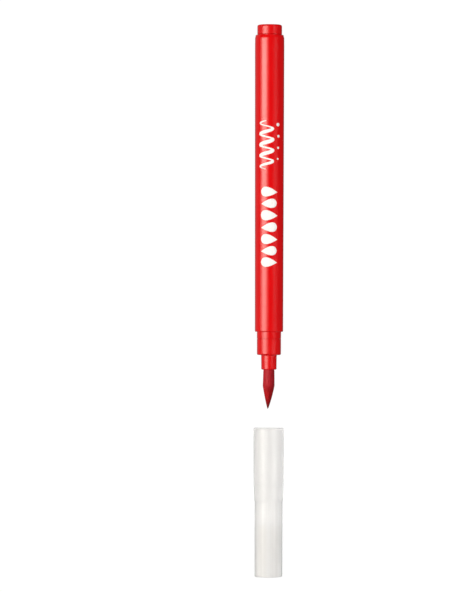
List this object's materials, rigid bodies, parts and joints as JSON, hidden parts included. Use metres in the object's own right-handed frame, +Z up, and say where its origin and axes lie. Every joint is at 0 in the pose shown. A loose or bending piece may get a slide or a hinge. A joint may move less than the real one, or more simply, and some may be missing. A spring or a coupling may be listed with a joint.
{
  "type": "brush pen",
  "caption": "Round tapered felt brush pen with a stepped collar, a pointed flexible fibre brush, and a translucent slip-on cap that lies loose in line with the brush.",
  "frame": {"origin": "on the surface that the pen lies on, under the middle of the row of pen and cap", "axes": "+X along the pen towards its tail, +Z up from the surface"},
  "size_m": [0.1906, 0.0104, 0.0105],
  "materials": {
    "red_plastic": "injection-moulded polypropylene, satin gloss, bright warm red",
    "inked_fibre": "bonded fibre soaked with red ink, matte with a fine lengthwise grain",
    "reservoir_fibre": "loose bonded fibre soaked with red ink, matte",
    "clear_film": "thin clear film, glossy",
    "frosted_plastic": "natural translucent polypropylene, satin, milky warm grey",
    "white_print": "white pad-printed ink"
  },
  "bodies": {
    "pen": {"barrel": "red_plastic", "end_plug": "red_plastic", "nose_section": "red_plastic", "nib_stem": "inked_fibre", "ink_reservoir": "reservoir_fibre", "reservoir_film": "clear_film"},
    "brush": {"brush_tip": "inked_fibre"},
    "cap": {"cap": "frosted_plastic"}
  },
  "joints": [
    {"name": "cap_slide", "type": "slide", "parent": "pen", "child": "cap", "axis": [1, 0, 0], "range_m": [0, 0.0331]},
    {"name": "brush_flex", "type": "hinge", "parent": "pen", "child": "brush", "pos_m": [-0.02409, 0, 0.00525], "axis": [0, 0, 1], "range_deg": [-12, 12], "stiffness_Nm_per_rad": 0.01}
  ]
}
